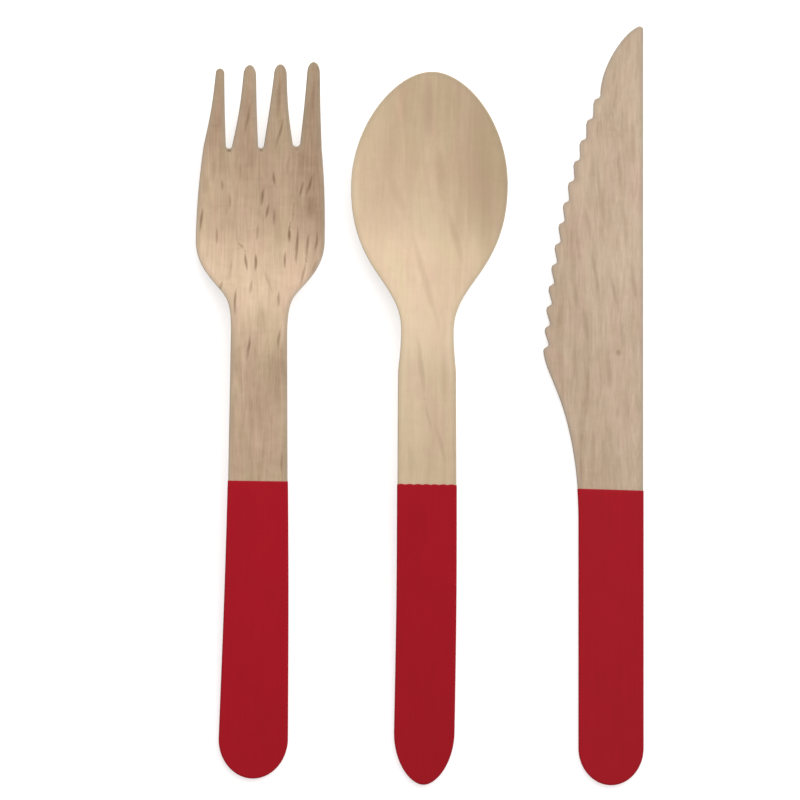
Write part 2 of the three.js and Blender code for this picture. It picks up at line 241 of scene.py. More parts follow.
def socketsIn(tree, wanted):
    made = {}
    for label, kind in wanted.items():
        made[label] = tree.interface.new_socket(label, in_out="INPUT", socket_type="NodeSocket" + kind)
    return made


# Adds a node, sets what it is told, and links or fills its inputs
def node(tree, kind, inputs=(), **settings):
    new = tree.nodes.new(kind)
    for key, value in settings.items():
        setattr(new, key, value)
    for key, value in dict(inputs).items():
        socket = new.inputs[key]
        if isinstance(value, bpy.types.NodeSocket):
            tree.links.new(value, socket)
        else:
            socket.default_value = value
    return new


def maths(tree, operation, a, b=0.0):
    return node(tree, "ShaderNodeMath", {0: a, 1: b}, operation=operation).outputs[0]


def pressTree():
    tree = bpy.data.node_groups.new("veneerPress", "GeometryNodeTree")
    tree.is_modifier = True
    sockets = socketsIn(tree, {
        "Blank": "Geometry", "Flecks": "Object", "Finish": "Material", "Bowl half width": "Float",
        "Relief": "Float", "Relief across": "Float", "Relief along": "Float", "Fleck depth": "Float",
        "Fleck wander": "Float", "Seed": "Float",
    })
    tree.interface.new_socket("Pressed", in_out="OUTPUT", socket_type="NodeSocketGeometry")
    given = node(tree, "NodeGroupInput").outputs
    merged = node(tree, "GeometryNodeMergeByDistance",
                  {"Geometry": given["Blank"], "Distance": veneer["mergeDistance"]})
    flat = node(tree, "GeometryNodeInputPosition").outputs[0]
    parted = node(tree, "ShaderNodeSeparateXYZ", {0: flat}).outputs
    onFace = node(tree, "ShaderNodeCombineXYZ", {"X": parted["X"], "Y": parted["Y"]}).outputs[0]

    # The grain: long shallow furrows along the blank
    stretched = node(tree, "ShaderNodeCombineXYZ", {
        "X": maths(tree, "MULTIPLY", parted["X"], given["Relief across"]),
        "Y": maths(tree, "MULTIPLY", parted["Y"], given["Relief along"]),
        "Z": given["Seed"],
    }).outputs[0]
    furrows = node(tree, "ShaderNodeTexNoise", {
        "Vector": stretched, "Scale": 1.0, "Detail": veneer["reliefDetail"],
    })
    furrowDepth = maths(tree, "MULTIPLY", furrows.outputs[0], given["Relief"])

    # The flecks: where a point lies across and along the nearest one, in half widths and half lengths
    bends = node(tree, "ShaderNodeTexNoise", {
        "Vector": onFace, "Scale": veneer["fleckWaves"], "Detail": 1.0,
    }).outputs[0]
    aside = maths(tree, "MULTIPLY", maths(tree, "SUBTRACT", bends, 0.5), given["Fleck wander"])
    strayed = node(tree, "ShaderNodeCombineXYZ", {
        "X": maths(tree, "ADD", parted["X"], aside), "Y": parted["Y"],
    }).outputs[0]
    flecks = node(tree, "GeometryNodeObjectInfo", {"Object": given["Flecks"]}).outputs["Geometry"]
    nearest = node(tree, "GeometryNodeSampleNearest", {0: flecks, "Sample Position": strayed},
                   domain="EDGE")

    def stored(key):
        return node(tree, "GeometryNodeInputNamedAttribute", {"Name": key}, data_type="FLOAT").outputs[0]

    def fromFleck(value, kind="FLOAT"):
        return node(tree, "GeometryNodeSampleIndex", {0: flecks, 1: value, "Index": nearest.outputs[0]},
                    data_type=kind, domain="EDGE").outputs[0]

    away = node(tree, "ShaderNodeVectorMath", {0: strayed, 1: fromFleck(flat, "FLOAT_VECTOR")},
                operation="SUBTRACT").outputs[0]
    upright = node(tree, "ShaderNodeVectorRotate", {"Vector": away, "Angle": fromFleck(stored("lean"))},
                   rotation_type="Z_AXIS").outputs[0]
    fleckSize = node(tree, "ShaderNodeCombineXYZ", {
        "X": fromFleck(stored("half")), "Y": fromFleck(stored("reach")), "Z": 1.0,
    }).outputs[0]
    within = node(tree, "ShaderNodeVectorMath", {0: upright, 1: fleckSize}, operation="DIVIDE").outputs[0]
    howFar = node(tree, "ShaderNodeVectorMath", {0: within}, operation="LENGTH").outputs["Value"]
    dark = fromFleck(stored("dark"))
    beside = node(tree, "ShaderNodeMapRange", {
        "Value": howFar, "From Min": veneer["fleckHeld"], "From Max": veneer["fleckGone"],
        "To Min": dark, "To Max": 0.0,
    }).outputs[0]
    place = node(tree, "ShaderNodeSeparateXYZ", {0: within}).outputs
    fleck = node(tree, "ShaderNodeCombineXYZ", {"X": place["X"], "Y": place["Y"], "Z": beside}).outputs[0]
    pit = node(tree, "ShaderNodeMapRange", {
        "Value": howFar, "From Min": 0.0, "From Max": 1.0, "To Min": dark, "To Max": 0.0,
    }).outputs[0]
    depth = maths(tree, "ADD", furrowDepth, maths(tree, "MULTIPLY", pit, given["Fleck depth"]))

    # The cut edge: how far a point lies from it
    onWall = node(tree, "FunctionNodeCompare", {
        0: maths(tree, "ABSOLUTE", stored("face")), 1: veneer["wallLimit"],
    }, operation="LESS_THAN")
    walls = node(tree, "GeometryNodeSeparateGeometry", {0: merged.outputs[0], 1: onWall.outputs[0]})
    outline = node(tree, "GeometryNodeSetPosition", {"Geometry": walls.outputs[0], "Position": onFace})
    fromEdge = node(tree, "GeometryNodeProximity", {0: outline.outputs[0], "Sample Position": onFace},
                    target_element="EDGES").outputs["Distance"]

    # The press: the blank takes the lift along it and the dish across it
    across = maths(tree, "DIVIDE", parted["X"], given["Bowl half width"])
    bowl = maths(tree, "MULTIPLY", stored("dish"), maths(tree, "MULTIPLY", across, across))
    raised = maths(tree, "ADD", stored("lift"), bowl)
    carved = maths(tree, "MULTIPLY", depth, maths(tree, "MULTIPLY", stored("face"), -1.0))
    offset = node(tree, "ShaderNodeCombineXYZ", {"Z": maths(tree, "ADD", raised, carved)}).outputs[0]

    marked = merged.outputs[0]
    for key, value in (("grain", flat), ("fleck", fleck), ("fromEdge", fromEdge)):
        marked = node(tree, "GeometryNodeStoreNamedAttribute", {
            "Geometry": marked, "Name": key, "Value": value,
        }, data_type="FLOAT" if key == "fromEdge" else "FLOAT_VECTOR", domain="POINT").outputs[0]
    moved = node(tree, "GeometryNodeSetPosition", {"Geometry": marked, "Offset": offset})
    real = node(tree, "GeometryNodeRealizeInstances", {0: moved.outputs[0]})
    finished = node(tree, "GeometryNodeSetMaterial", {
        "Geometry": real.outputs[0], "Material": given["Finish"],
    })
    node(tree, "NodeGroupOutput", {0: finished.outputs[0]})
    return tree, sockets


press, pressSockets = pressTree()
print("press tree ready")


# Short lines in the flat blank's plane, one for each fleck, which carry its size, lean and darkness
def fleckLines(name, flecks):
    points, edges = [], []
    for x, y, length, lean, half, dark in flecks:
        reach = Vector((math.sin(math.radians(lean)), math.cos(math.radians(lean)), 0)) * length / 2
        edges.append((len(points), len(points) + 1))
        points += [Vector((x, y, 0)) - reach, Vector((x, y, 0)) + reach]
    mesh = bpy.data.meshes.new(name)
    mesh.from_pydata(points, edges, [])
    storeOn(mesh, "EDGE", {
        "reach": [length / 2 for x, y, length, lean, half, dark in flecks],
        "lean": [math.radians(lean) for x, y, length, lean, half, dark in flecks],
        "half": [half for x, y, length, lean, half, dark in flecks],
        "dark": [dark for x, y, length, lean, half, dark in flecks],
    })
    return newObject(name, mesh)


# Runs the press on a flat blank, and returns the result as a plain piece in its place
def pressed(name, flat, flecks, finish, place, bowlHalf, relief, seed):
    blank = newObject(name + "_flat", flat)
    work = blank.modifiers.new("press", "NODES")
    work.node_group = press
    values = {
        "Flecks": flecks, "Finish": finish, "Bowl half width": float(bowlHalf), "Relief": relief,
        "Relief across": veneer["reliefAcross"], "Relief along": veneer["reliefAlong"],
        "Fleck depth": veneer["fleckDepth"], "Fleck wander": veneer["fleckWander"], "Seed": seed,
    }
    for label, value in values.items():
        work[pressSockets[label].identifier] = value
    graph = bpy.context.evaluated_depsgraph_get()
    mesh = bpy.data.meshes.new_from_object(blank.evaluated_get(graph), preserve_all_data_layers=True,
                                           depsgraph=graph)
    bpy.data.objects.remove(blank)
    mesh.transform(place)
    mesh.shade_smooth()
    mesh.name = name
    print(name, len(mesh.polygons), "faces")
    return newObject(name, mesh)


# From a utensil's own frame in millimetres to the set's frame in metres
def placeOf(butt, turn=0.0, rise=0.0):
    move = Matrix.Translation(Vector((butt[0], butt[1], rise)) * mm)
    return move @ Matrix.Rotation(-math.radians(turn), 4, "Z") @ Matrix.Scale(mm, 4)


# Finishes

def attribute(tree, key):
    return node(tree, "ShaderNodeAttribute", attribute_name=key).outputs


# One layer of a finish: noise stretched along the grain, from the look's values that start with its name,
# which are its waves to a millimetre, detail, bend, roughness and place in the noise
def layerOf(tree, grain, look, layer, turn=0.0):
    across, along = look[layer + "Across"], look[layer + "Along"]
    shift = look["shift"] + look.get(layer + "Shift", 0)
    mapped = node(tree, "ShaderNodeMapping", {
        "Vector": grain, "Scale": (across, along, across), "Rotation": (0, 0, math.radians(turn)),
        "Location": (shift, shift, 0),
    })
    return node(tree, "ShaderNodeTexNoise", {
        "Vector": mapped.outputs[0], "Scale": 1.0, "Detail": look[layer + "Detail"],
        "Distortion": look.get(layer + "Bend", 0.0), "Roughness": look.get(layer + "Roughness", 0.5),
    }).outputs[0]


def ranged(tree, value, low, high, toLow=0.0, toHigh=1.0):
    return node(tree, "ShaderNodeMapRange", {
        "Value": value, "From Min": low, "From Max": high, "To Min": toLow, "To Max": toHigh,
    }).outputs[0]


def mixed(tree, share, a, b, blend="MIX"):
    mix = node(tree, "ShaderNodeMix", {0: share, 6: a, 7: b}, data_type="RGBA", blend_type=blend)
    return mix.outputs[2]


# The tone and painted light stored on the piece, with each layer added about its middle, as strongly as the
# look says
def tonedBy(tree, look, layers):
    toneAndPaintedLight = attribute(tree, "toneAndPaintedLight")["Fac"]
    for strength, layer in layers.items():
        centred = maths(tree, "SUBTRACT", layer, 0.5)
        toneAndPaintedLight = maths(tree, "ADD", toneAndPaintedLight, maths(tree, "MULTIPLY", centred, look[strength]))
    return toneAndPaintedLight


# Roughness from the fibres, a low gloss, and bump from the fibres and streaks less any pores
def addSurface(tree, shader, look, fibres, streaks, pores=None):
    tree.links.new(ranged(tree, fibres, *look["roughness"]), shader.inputs["Roughness"])
    shader.inputs["Specular IOR Level"].default_value = look["specular"]
    height = maths(tree, "ADD", maths(tree, "MULTIPLY", fibres, look["fibreHeight"]),
                   maths(tree, "MULTIPLY", streaks, look["streakHeight"]))
    if pores is not None:
        height = maths(tree, "SUBTRACT", height, maths(tree, "MULTIPLY", pores, look["poreDepth"]))
    bump = node(tree, "ShaderNodeBump", {
        "Height": height, "Strength": look["bumpStrength"], "Distance": look["bump"] * mm,
    })
    tree.links.new(bump.outputs[0], shader.inputs["Normal"])


def newMaterial(name):
    material = bpy.data.materials.new(name)
    material.use_nodes = True
    return material, material.node_tree, material.node_tree.nodes["Principled BSDF"]


# A colour as it shows on screen, from 0 to 255, turned by the screen's curve into the shader's values
def colour(red, green, blue):
    def linear(value):
        value /= 255
        return value / 12.92 if value <= 0.04045 else ((value + 0.055) / 1.055) ** 2.4
    return (linear(red), linear(green), linear(blue), 1)


# What the three woods share. A range is given as low, high and, where needed, what they turn into.
birch = {
    "figureDetail": 3, "figureBend": 1.2,
    "streakDetail": 2, "streakShift": 11, "streakRoughness": 0.55,
    "fibreDetail": 1.5, "fibreBend": 0.4, "fibreShift": 23,
    "rippleAcross": 0.25, "rippleAlong": 0.5, "rippleDetail": 3, "rippleBend": 0.8, "rippleShift": 37,
    "poreAcross": 3.4, "poreAlong": 0.3, "poreDetail": 2, "poreShift": 41, "poreRange": (0.63, 0.76),
    "hueAcross": 0.2, "hueAlong": 0.08, "hueDetail": 2, "hueBend": 0.5, "hueShift": 53,
    "hueRange": (0.35, 0.65), "fleckFibres": (0.3, 0.6, 0.65, 1.2),
    "roughness": (0.3, 0.7, 0.74, 0.58), "specular": 0.25,
    "fibreHeight": 0.6, "streakHeight": 0.4, "poreDepth": 0.6, "bumpStrength": 0.5,
}


# Birch veneer: a tone with painted light in it, broad figure, streaks, fibres, ripple and pores, a faint
# drift of hue, flecks and a darker, greyer band along the cut edge, which is painted shade of the rounded
# edge
def woodFinish(name, ownLook):
    look = {**birch, **ownLook}
    material, tree, shader = newMaterial(name)
    grain = attribute(tree, "grain")["Vector"]
    figure, streaks = (layerOf(tree, grain, look, layer, look["lean"]) for layer in ("figure", "streak"))
    fibres, ripple, specks, hue = (
        layerOf(tree, grain, look, layer) for layer in ("fibre", "ripple", "pore", "hue")
    )
    pores = ranged(tree, specks, *look["poreRange"])
    toneAndPaintedLight = tonedBy(tree, look, {"figure": figure, "streaks": streaks, "fibres": fibres, "ripple": ripple})
    toneAndPaintedLight = maths(tree, "SUBTRACT", toneAndPaintedLight, maths(tree, "MULTIPLY", pores, look["pores"]))
    wood = mixed(tree, ranged(tree, toneAndPaintedLight, 0.0, 1.0), look["dark"], look["pale"])
    tint = mixed(tree, ranged(tree, hue, *look["hueRange"]), look["olive"], look["pink"])
    wood = mixed(tree, 1.0, wood, tint, "MULTIPLY")
    spot = node(tree, "ShaderNodeSeparateXYZ", {0: attribute(tree, "fleck")["Vector"]}).outputs
    across, along = maths(tree, "POWER", spot["X"], 2.0), maths(tree, "POWER", spot["Y"], 2.0)
    within = ranged(tree, maths(tree, "ADD", across, along), 0.0, 1.0, 1.0, 0.0)
    fleck = maths(tree, "MULTIPLY", within, spot["Z"])
    fleck = maths(tree, "MULTIPLY", fleck, ranged(tree, fibres, *look["fleckFibres"]))
    through = ranged(tree, attribute(tree, "face")["Fac"], -1.0, 0.0, look["fleckThrough"], 1.0)
    fleck = maths(tree, "MULTIPLY", fleck, through)
    wood = mixed(tree, fleck, wood, look["fleck"])
    # Painted shade: a darker, greyer band along the cut edge, where the rounded edge turns from the light
    edge = ranged(tree, attribute(tree, "fromEdge")["Fac"], 0.0, look["paintedEdgeShadeWidth"], look["edge"], 0.0)
    wood = mixed(tree, edge, wood, look["rim"])
    tree.links.new(wood, shader.inputs["Base Color"])
    addSurface(tree, shader, look, fibres, streaks, pores)
    return material


# Satin red dip paint that lets the grain below show faintly, with painted shade from the stored tone that
# darkens it towards the butt
def paintFinish(name, look):
    material, tree, shader = newMaterial(name)
    grain = attribute(tree, "grain")["Vector"]
    streaks, fibres, cloud = (layerOf(tree, grain, look, layer) for layer in ("streak", "fibre", "cloud"))
    toneAndPaintedLight = tonedBy(tree, look, {"streaks": streaks, "fibres": fibres, "cloud": cloud})
    red = mixed(tree, ranged(tree, toneAndPaintedLight, 0.0, 1.0), look["dark"], look["bright"])
    tree.links.new(red, shader.inputs["Base Color"])
    addSurface(tree, shader, look, fibres, streaks)
    return material


# In each look, rim is the colour of the painted shade along the cut edge
forkLook = {
    "dark": colour(150, 124, 98), "pale": colour(227, 204, 180), "pink": colour(255, 246, 241),
    "olive": colour(254, 251, 240), "fleck": colour(114, 82, 54), "rim": colour(166, 153, 134),
    "figure": 0.6, "figureAcross": 0.14, "figureAlong": 0.03, "lean": 1.0,
    "streaks": 0.56, "streakAcross": 0.9, "streakAlong": 0.06, "streakBend": 1.6,
    "fibres": 0.14, "fibreAcross": 1.9, "fibreAlong": 0.2,
    "ripple": 0.24, "pores": 0.08, "edge": 0.5, "paintedEdgeShadeWidth": 0.9, "bump": 0.02, "shift": 3.0,
    "fleckThrough": 0.3,  # how much of a fleck shows on the underside
}
spoonLook = {
    "dark": colour(170, 145, 115), "pale": colour(239, 219, 195), "pink": colour(255, 246, 240),
    "olive": colour(254, 252, 240), "fleck": colour(165, 138, 108), "rim": colour(180, 166, 140),
    "figure": 0.45, "figureAcross": 0.12, "figureAlong": 0.014, "lean": 2.0,
    "streaks": 0.26, "streakAcross": 0.5, "streakAlong": 0.03, "streakBend": 1.0,
    "fibres": 0.14, "fibreAcross": 1.6, "fibreAlong": 0.25,
    "ripple": 0.12, "pores": 0.05, "edge": 0.42, "paintedEdgeShadeWidth": 0.8, "bump": 0.012, "shift": 71.0,
    "fleckThrough": 0.6,
}
knifeLook = {
    "dark": colour(158, 134, 110), "pale": colour(225, 205, 186), "pink": colour(255, 247, 243),
    "olive": colour(253, 252, 243), "fleck": colour(142, 118, 94), "rim": colour(162, 152, 138),
    "figure": 0.5, "figureAcross": 0.2, "figureAlong": 0.03, "lean": 5.0,
    "streaks": 0.5, "streakAcross": 0.6, "streakAlong": 0.07, "streakBend": 2.6,
    "fibres": 0.24, "fibreAcross": 1.7, "fibreAlong": 0.25,
    "ripple": 0.18, "pores": 0.08, "edge": 0.48, "paintedEdgeShadeWidth": 0.8, "bump": 0.02, "shift": 131.0,
    "fleckThrough": 0.6,
}
redLook = {
    "dark": colour(140, 0, 14), "bright": colour(192, 6, 34), "shift": 211.0,
    "streaks": 0.18, "streakAcross": 1.4, "streakAlong": 0.06, "streakDetail": 3, "streakBend": 0.3,
    "streakRoughness": 0.6,
    "fibres": 0.14, "fibreAcross": 4.5, "fibreAlong": 0.3, "fibreDetail": 3, "fibreBend": 0.2,
    "fibreRoughness": 0.6, "fibreShift": 17,
    "cloud": 0.2, "cloudAcross": 0.22, "cloudAlong": 0.12, "cloudDetail": 2, "cloudBend": 0.4,
    "cloudShift": 29,
    "roughness": (0.3, 0.7, 0.5, 0.4), "specular": 0.17,
    "fibreHeight": 0.5, "streakHeight": 0.5, "bumpStrength": 0.35, "bump": 0.02,
}
redPaint = paintFinish("red_dip_paint", redLook)


# Coats: the dip paint is a skin round the handle that thins out at its rim

# Outer and inner walls of the coat. Its last loops follow the scallop, which gives how far the rim
# strays along the handle at each place across it.
def coatStrips(left, leftInward, right, rightInward, paintTo, scallop):
    rimStart, follows = paintTo - dip["rimRun"], dip["rimFollows"]
    keep = left[:, 1] < rimStart - veneer["straightPitch"] / 2
    angle = np.linspace(0, math.pi / 2, dip["rimSteps"] + 1)
    rimAt = rimStart + dip["rimRun"] * np.sin(angle)
    rimSkin = dip["thickness"] * np.cos(angle)

    def upTo(points):
        rim = np.column_stack([np.interp(rimAt, points[:, 1], points[:, k]) for k in (0, 1)])
        return np.vstack([points[keep], rim])

    def atRim(inward):
        return np.vstack([inward[keep], np.repeat(inward[keep][-1:], len(rimAt), axis=0)])

    skin = np.concatenate([np.full(keep.sum(), dip["thickness"]), rimSkin])
    shares = np.linspace(0, 1, dip["columns"] + 1)
    edges = (upTo(left), atRim(leftInward), upTo(right), atRim(rightInward), shares)
    outer, outerFace = loopsRound(*edges, skin=skin)
    inner, innerFace = loopsRound(*edges)
    for loops in (outer, inner):
        nearRim = np.clip((loops[..., 1] - (rimStart - follows)) / follows, 0, 1) ** 2
        loops[..., 1] += scallop(loops[..., 0]) * nearRim
    return [(outer, outerFace * 0, False), (inner, innerFace * 0, True)]


def plainRim(x):
    return np.zeros_like(x)


# The red's tone along the handle, with painted shade that darkens it towards the butt
def redToneAndPaintedShade(utensil):
    along = smoothLine(utensil["redToneAndPaintedShade"])
    return lambda x, y: along(y)


# Presses a utensil's wood and its coat, with what they share, puts both on the root body and hides the CAD
# parts they stand in for
def makePieces(name, utensil, look, strips, coat, lift, dish, toneAndPaintedLight, place, half, relief):
    flecks = fleckLines(name + "_flecks", utensil["flecks"])
    finish = woodFinish(name + "_birch", look)
    flat = flatMesh(name + "_blank_flat", strips, lift, dish, toneAndPaintedLight)
    wood = pressed(name + "_wood", flat, flecks, finish, place, half, relief, utensil["seed"])
    flat = flatMesh(name + "_coat_flat", coat, lift, dish, redToneAndPaintedShade(utensil))
    paint = pressed(name + "_paint", flat, flecks, redPaint, place, half, 0.0, utensil["seed"])
    bpy.data.objects.remove(flecks)
    for piece, part, slot in ((wood, "blank", name + "_wood"), (paint, "coat", "red_paint")):
        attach(piece, "root")
        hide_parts(f"{name}_{part}")
    print(name, "dressed")


# Fork

fork = {
    "gripHalf": 7.45, "endLength": 8.6, "paintedLength": 64.7, "paintHalf": 6.45, "bareRun": 32.3,
    "neckHalf": 6.1, "neckRun": 9.5, "shoulderHalf": 8.9, "shoulderRun": 10.5, "palmHalf": 14,
    "palmRun": 20, "combHalf": 12.85, "neckLift": 6.9, "tipLift": 5.6, "palmDepth": 1.47, "combSway": 0.22,
    "deepWaist": 0.3, "slightWaist": 0.08, "rootSteps": 9, "shaftSteps": 33, "tipSteps": 13,
    "tineColumns": 24, "rise": 0.016, "seed": 4.0,
    "tips": [  # across, reach past the comb, half width, length of the rounding, waists left and right
        (-9.2, 17.1, 0.95, 1.1, "deepWaist", "slightWaist"),
        (-2.75, 17.95, 1.4, 2.4, "deepWaist", "slightWaist"),
        (3.9, 18.2, 1.4, 2.4, "slightWaist", "deepWaist"),
        (11.1, 18.75, 1.4, 2.4, "slightWaist", "slightWaist"),
    ],
    "slots": [(-7.1, -0.15, 0.7), (-0.15, 0.05, 0.65), (7.55, 0.5, 0.85)],  # across, reach, radius
    "flecks": [  # across, along, length, lean, half width, darkness
        (-6.9, 125.3, 4.5, 2, 0.42, 0.35), (0.3, 126.5, 4.8, 6, 0.4, 0.7), (1.4, 123.4, 4.2, 14, 0.4, 0.6),
        (2.9, 122.2, 4.4, 2, 0.42, 0.45), (6.2, 118.3, 4.2, -1, 0.4, 0.7), (8, 116, 9, 1, 0.4, 0.65),
        (12.2, 116.8, 5.5, 5, 0.4, 0.55), (10.3, 116, 7, 4, 0.4, 0.5), (-9.4, 117.8, 4.6, 0, 0.4, 0.4),
        (-12.9, 121.2, 6, 6, 0.4, 0.6), (-4.2, 115.8, 2.4, -50, 0.4, 0.45), (-3, 112.3, 4.6, -7, 0.4, 0.65),
        (-0.9, 112.2, 4.4, 0, 0.42, 0.7), (5.5, 112.8, 4.2, 1, 0.4, 0.6), (9.4, 109.6, 6.5, 9, 0.4, 0.4),
        (-8.4, 106.3, 3.8, 12, 0.4, 0.6), (-5.2, 103.5, 7, 4, 0.4, 0.6), (4.2, 104.3, 4, 0, 0.4, 0.45),
        (-1.8, 106.8, 3.8, 6, 0.5, 0.35), (-3.2, 143.3, 8, 10, 0.42, 0.4), (3.9, 140.3, 8, 15, 0.4, 0.5),
        (12.5, 151, 4, -3, 0.4, 0.5), (2.9, 130.4, 3.6, -8, 0.42, 0.55), (-8.4, 128.8, 2.6, 0, 0.42, 0.45),
        (10.6, 129.2, 5.2, 13, 0.42, 0.6), (8.8, 128.2, 4.2, 10, 0.4, 0.5), (-2.2, 93.5, 6.6, 4, 0.42, 0.6),
        (4.4, 95.6, 5, 5, 0.42, 0.45), (5.3, 69, 5.6, -2, 0.4, 0.35), (11.2, 124, 6, 2, 1.2, 0.28),
        (-7.1, 136.4, 1.4, 90, 0.4, 0.8), (-0.1, 136.55, 1.3, 90, 0.42, 0.65),
        (7.5, 136.9, 1.6, 90, 0.4, 0.3), (0.2, 100.5, 8, -6, 1, 0.18), (-12, 129, 5, 2, 1, 0.16),
        (-3.2, 147.5, 9, 5, 0.7, 0.24), (3.6, 148, 11, 6, 0.8, 0.26), (10.9, 147, 10, 2, 0.8, 0.2),
        (7, 123.2, 5.4, 6, 0.4, 0.3), (-0.6, 118.9, 4.6, 5, 0.42, 0.25), (-6.3, 110.5, 6, 5, 0.4, 0.2),
        (1.6, 108.4, 7, -22, 0.5, 0.2), (11.9, 111.2, 4.5, 14, 0.4, 0.35), (-10.4, 132.2, 6, 3, 0.7, 0.16),
        (5.8, 133.4, 5, 8, 0.5, 0.22),
    ],
    # Tone along the fork with painted light in it: brighter on the slope from the neck down into the palm
    "toneAndPaintedLightAlong": [
        (0, 0.47), (70, 0.47), (86, 0.48), (93, 0.5), (98, 0.61), (103, 0.76), (109, 0.78), (116, 0.64),
        (124, 0.51), (136, 0.44), (155, 0.48),
    ],
    # Painted shade across: darker to the right, lighter to the left
    "paintedShadeAcross": -0.09,
    "redToneAndPaintedShade": [(0, 0.38), (64.7, 0.5)],  # distance along, tone from dark at 0 to bright at 1; darker towards the butt as painted shade
}


# One side of a tine: round the bottom of its slot, along the shaft and round the tip
def tineEdge(tip, outward, slot, otherSlot, palmEnd, combAt):
    x, reach, half, rounding = tip[:4]
    waist = fork[tip[4] if outward < 0 else tip[5]]
    tipAt = combAt + reach
    shoulder = np.array([x + outward * half, tipAt - rounding])
    quarter = np.linspace(0, math.pi / 2, fork["rootSteps"] + 1)
    rise = (slot or otherSlot)[2] * (1 - np.cos(quarter))
    if slot:
        root = np.column_stack([slot[0] - outward * slot[2] * np.sin(quarter), combAt + slot[1] + rise])
    else:
        root = lerp(palmEnd, shoulder, (rise / (shoulder[1] - palmEnd[1]))[:, None])
    share = np.linspace(0, 1, fork["shaftSteps"] + 1)[1:-1]
    shaft = lerp(root[-1], shoulder, share[:, None])
    shaft[:, 0] -= outward * waist * np.sin(share * math.pi)
    angle = np.linspace(0, math.pi / 2, fork["tipSteps"] + 1)
    end = np.column_stack([x + outward * half * np.cos(angle), tipAt - rounding * (1 - np.sin(angle))])
    return np.vstack([root, shaft, end])


def makeFork():
    neckAt = fork["paintedLength"] + fork["bareRun"]
    shoulderAt = neckAt + fork["neckRun"]
    palmAt = shoulderAt + fork["shoulderRun"]
    combAt = palmAt + fork["palmRun"]
    tipAt = combAt + max(tip[1] for tip in fork["tips"])
    side = np.vstack([
        roundedEnd(fork["gripHalf"], fork["endLength"]),
        straight((fork["gripHalf"], fork["endLength"]), (fork["paintHalf"], fork["paintedLength"])),
        straight((fork["paintHalf"], fork["paintedLength"]), (fork["neckHalf"], neckAt)),
        throughKnots([
            {"half": fork["neckHalf"], "at": neckAt, "widens": 0, "after": 0.65},
            {"half": fork["shoulderHalf"], "at": shoulderAt, "widens": 0.9, "before": 0.22, "after": 0.27},
            {"half": fork["palmHalf"], "at": palmAt, "widens": 0, "before": 0.46, "after": 0.35},
            {"half": fork["combHalf"], "at": combAt, "widens": -0.12, "before": 0.3},
        ]),
    ])
    sway = smoothLine([
        (0, 0), (fork["paintedLength"] * 0.7, layout["handleSway"]), (neckAt, layout["handleSway"] / 3),
        (palmAt, 0), (combAt, fork["combSway"]),
    ])
    neckLift, tipLift = fork["neckLift"], fork["tipLift"]
    # The pressed profile: how high the fork's middle line stands at places from the butt to the tips
    lift = smoothLine([
        (0, dip["thickness"]), (neckAt * 0.46, neckLift * 0.52), (neckAt * 0.89, neckLift * 0.96),
        (neckAt * 0.98, neckLift), (lerp(neckAt, shoulderAt, 0.7), neckLift * 0.76),
        (lerp(shoulderAt, palmAt, 0.5), neckLift * 0.26), (palmAt, neckLift * 0.03),
        (lerp(palmAt, combAt, 0.25), 0), (lerp(palmAt, combAt, 0.8), tipLift * 0.12),
        (lerp(combAt, tipAt, 0.43), tipLift * 0.54), (tipAt, tipLift),
    ])
    depth = fork["palmDepth"]
    dish = smoothLine([(neckAt, 0), (shoulderAt, depth * 0.35), (palmAt, depth), (combAt, depth)])
    toneAndPaintedLightAlong = smoothLine(fork["toneAndPaintedLightAlong"])

    palmLeft, palmRight = swayed(side, sway)
    tips, slots = fork["tips"], [None, *fork["slots"], None]
    lefts, rights = [], []
    for tip, before, after in zip(tips, slots, slots[1:]):
        lefts.append(tineEdge(tip, -1, before, after, palmLeft[-1], combAt))
        rights.append(tineEdge(tip, 1, after, before, palmRight[-1], combAt))
    butt, top = (0, 1), (0, -1)
    count, shares = len(side), np.linspace(0, 1, fork["tineColumns"] + 1)
    outerLeft = np.vstack([palmLeft, lefts[0][1:]])
    outerRight = np.vstack([palmRight, rights[-1][1:]])
    outerLeftInward = inwardOf(outerLeft, -1, butt, top)
    outerRightInward = inwardOf(outerRight, 1, butt, top)
    strips, comb = [], []
    for i, (left, right) in enumerate(zip(lefts, rights)):
        leftInward = outerLeftInward[count - 1:] if i == 0 else inwardOf(left, -1, top, top)
        rightInward = outerRightInward[count - 1:] if i == len(tips) - 1 else inwardOf(right, 1, top, top)
        loops, face = loopsRound(left, leftInward, right, rightInward, shares)
        strips.append((loops, face, False))
        root = loops[0, :len(shares), :2]
        comb.append(root if i == 0 else root[1:])
    comb = np.vstack(comb)
    combShares = (comb[:, 0] - comb[0, 0]) / (comb[-1, 0] - comb[0, 0])
    handle = (palmLeft, outerLeftInward[:count], palmRight, outerRightInward[:count])
    loops, face = loopsRound(*handle, combShares, comb=comb)
    strips.insert(0, (loops, face, False))

    def toneAndPaintedLight(x, y):
        return toneAndPaintedLightAlong(y) + fork["paintedShadeAcross"] * x / fork["palmHalf"]

    place = placeOf(layout["forkButt"], layout["forkTurn"], fork["rise"] + veneer["thickness"] / 2)
    coat = coatStrips(*handle, fork["paintedLength"], plainRim)
    makePieces("fork", fork, forkLook, strips, coat, lift, dish, toneAndPaintedLight, place, fork["palmHalf"],
               veneer["relief"])


makeFork()

# Spoon

